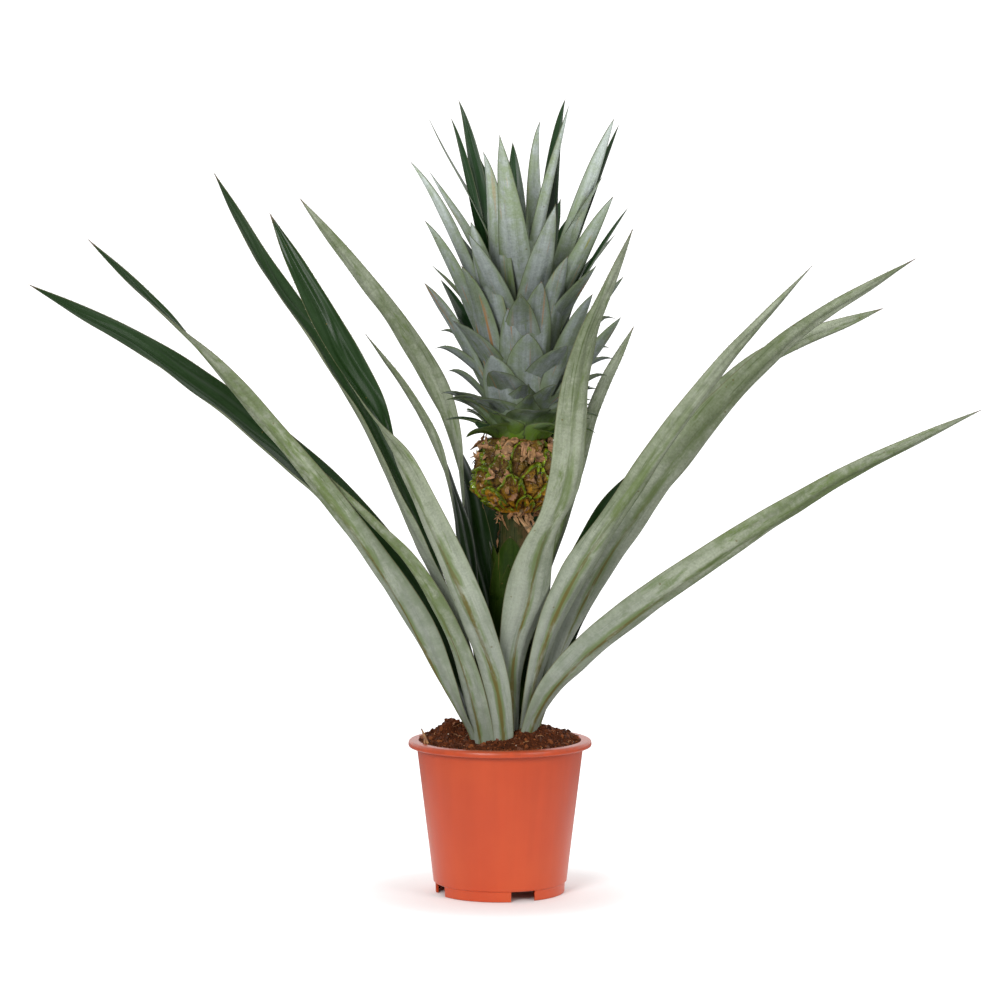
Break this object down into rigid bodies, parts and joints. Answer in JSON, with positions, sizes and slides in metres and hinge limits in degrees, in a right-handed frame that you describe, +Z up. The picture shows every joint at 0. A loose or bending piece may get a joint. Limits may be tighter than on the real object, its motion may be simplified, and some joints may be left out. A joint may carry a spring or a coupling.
{
  "type": "potted pineapple plant",
  "caption": "Young pineapple plant in a round plastic nursery pot: arching strap leaves, a stalk and a small fruit with a tall leafy crown.",
  "frame": {"origin": "on the resting plane, at the centre of the pot's foot", "axes": "+Z up along the pot's axis; +X to the plant's right, along its widest spread; +Y to its back, away from the viewer"},
  "size_m": [0.6164, 0.2548, 0.511],
  "materials": {
    "terracotta_plastic": "satin",
    "potting_soil": "matte",
    "stem": "matte",
    "stalk": "satin",
    "bract": "matte",
    "fruit": "satin",
    "rosette_leaf": "satin",
    "crown_leaf": "satin"
  },
  "bodies": {
    "root": {"pot": "terracotta_plastic", "soil": "potting_soil", "stem": "stem", "stalk": "stalk", "fruit": "fruit", "leaf_far_left": "rosette_leaf", "leaf_left": "rosette_leaf", "leaf_front_left": "rosette_leaf", "leaf_front_centre": "rosette_leaf", "leaf_front_right": "rosette_leaf", "leaf_right": "rosette_leaf", "leaf_back_right": "rosette_leaf", "leaf_back": "rosette_leaf", "leaf_back_left": "rosette_leaf", "leaf_inner_left": "rosette_leaf", "leaf_upper_left": "rosette_leaf", "leaf_front": "rosette_leaf", "leaf_upper_right": "rosette_leaf", "leaf_inner_right": "rosette_leaf", "leaf_inner_back_left": "rosette_leaf", "stalk_bract_1": "bract", "stalk_bract_2": "bract", "stalk_bract_3": "bract", "stalk_bract_4": "bract", "crown_leaf_01": "crown_leaf", "crown_leaf_02": "crown_leaf", "crown_leaf_03": "crown_leaf", "crown_leaf_04": "crown_leaf", "crown_leaf_05": "crown_leaf", "crown_leaf_06": "crown_leaf", "crown_leaf_07": "crown_leaf", "crown_leaf_08": "crown_leaf", "crown_leaf_09": "crown_leaf", "crown_leaf_10": "crown_leaf", "crown_leaf_11": "crown_leaf", "crown_leaf_12": "crown_leaf", "crown_leaf_13": "crown_leaf", "crown_leaf_14": "crown_leaf", "crown_leaf_15": "crown_leaf", "crown_leaf_16": "crown_leaf", "crown_leaf_17": "crown_leaf", "crown_leaf_18": "crown_leaf", "crown_leaf_19": "crown_leaf", "crown_leaf_20": "crown_leaf", "crown_leaf_21": "crown_leaf", "crown_leaf_22": "crown_leaf", "crown_leaf_23": "crown_leaf", "crown_leaf_24": "crown_leaf", "crown_leaf_25": "crown_leaf", "crown_leaf_26": "crown_leaf", "crown_leaf_27": "crown_leaf", "crown_leaf_28": "crown_leaf", "crown_leaf_29": "crown_leaf", "crown_leaf_30": "crown_leaf", "crown_leaf_31": "crown_leaf", "crown_leaf_32": "crown_leaf", "crown_leaf_33": "crown_leaf", "crown_leaf_34": "crown_leaf", "crown_leaf_35": "crown_leaf", "crown_leaf_36": "crown_leaf"}
  },
  "joints": []
}
